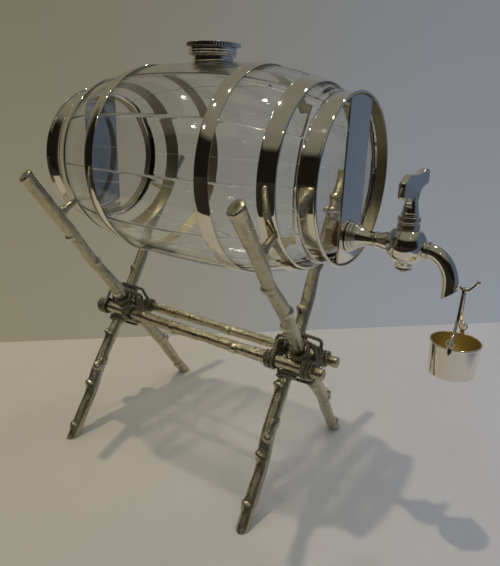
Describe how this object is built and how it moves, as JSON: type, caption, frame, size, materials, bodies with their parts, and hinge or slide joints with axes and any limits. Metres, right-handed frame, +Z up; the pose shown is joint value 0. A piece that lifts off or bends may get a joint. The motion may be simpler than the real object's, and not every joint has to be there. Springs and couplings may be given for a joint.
{
  "type": "spirit barrel",
  "caption": "Clear glass cask in plated hoops on a stand of twig-shaped legs, with a tap, a screw cap and a small bucket hanging from the spout.",
  "frame": {"origin": "middle of the bounding box in X and Y, on the floor that the legs stand on", "axes": "+X along the cask's axis from its back end towards the tap, +Z up, and -Y towards the near side"},
  "size_m": [0.303, 0.188, 0.2933],
  "materials": {
    "glass": "clear, polished",
    "plate": "polished silver plate",
    "twig": "soft silver plate, slightly frosted",
    "wire": "twisted wire, tarnished dark",
    "cork": "plain cork"
  },
  "bodies": {
    "stand": {"leg_near_tap_end": "twig", "leg_far_tap_end": "twig", "leg_near_back_end": "twig", "leg_far_back_end": "twig", "bar_near": "twig", "bar_far": "twig", "lashing_tap_end": "wire", "lashing_back_end": "wire"},
    "barrel": {"glass_cask": "glass", "end_band_tap_end": "plate", "end_band_back_end": "plate", "outer_hoop_tap_end": "plate", "outer_hoop_back_end": "plate", "inner_hoop_tap_end": "plate", "inner_hoop_back_end": "plate", "strap_tap_end": "plate", "strap_back_end": "plate", "neck_mount": "plate", "tap_body": "plate", "tap_spout": "plate", "bucket_hook": "plate", "outer_cork_washer": "cork", "inner_cork_washer": "cork", "tail_nut": "plate"},
    "tap_key": {"tap_plug": "plate", "tap_handle": "plate", "key_washer": "plate", "key_screw": "plate"},
    "cap_core": {"cap_seal": "cork"},
    "screw_cap": {"cap_shell": "plate", "cap_disc": "plate"},
    "bail": {"bucket_bail": "plate"},
    "bucket": {"bucket": "plate", "ear_near": "plate", "ear_far": "plate"}
  },
  "joints": [
    {"name": "barrel_lift", "type": "slide", "parent": "stand", "child": "barrel", "axis": [0, 0, 1], "range_m": [0, 0.06]},
    {"name": "tap_turn", "type": "hinge", "parent": "barrel", "child": "tap_key", "pos_m": [0.10245, 0, 0.1832], "axis": [0, 0, 1], "range_deg": [-80, 10]},
    {"name": "cap_rise", "type": "slide", "parent": "barrel", "child": "cap_core", "axis": [0, 0, 1], "range_m": [0, 0.00151]},
    {"name": "cap_turn", "type": "hinge", "parent": "cap_core", "child": "screw_cap", "pos_m": [-0.03745, 0, 0.2894], "axis": [0, 0, 1], "range_deg": [0, 450]},
    {"name": "bail_swing", "type": "hinge", "parent": "barrel", "child": "bail", "pos_m": [0.13735, 0, 0.1629], "axis": [1, 0, 0], "range_deg": [-25, 25]},
    {"name": "bucket_tilt", "type": "hinge", "parent": "bail", "child": "bucket", "pos_m": [0.13735, 0, 0.1365], "axis": [0, 1, 0], "range_deg": [-90, 90]}
  ],
  "couplings": [
    {"joint": "cap_rise", "follows": "cap_turn", "m_per_rad": 0.00019099}
  ]
}
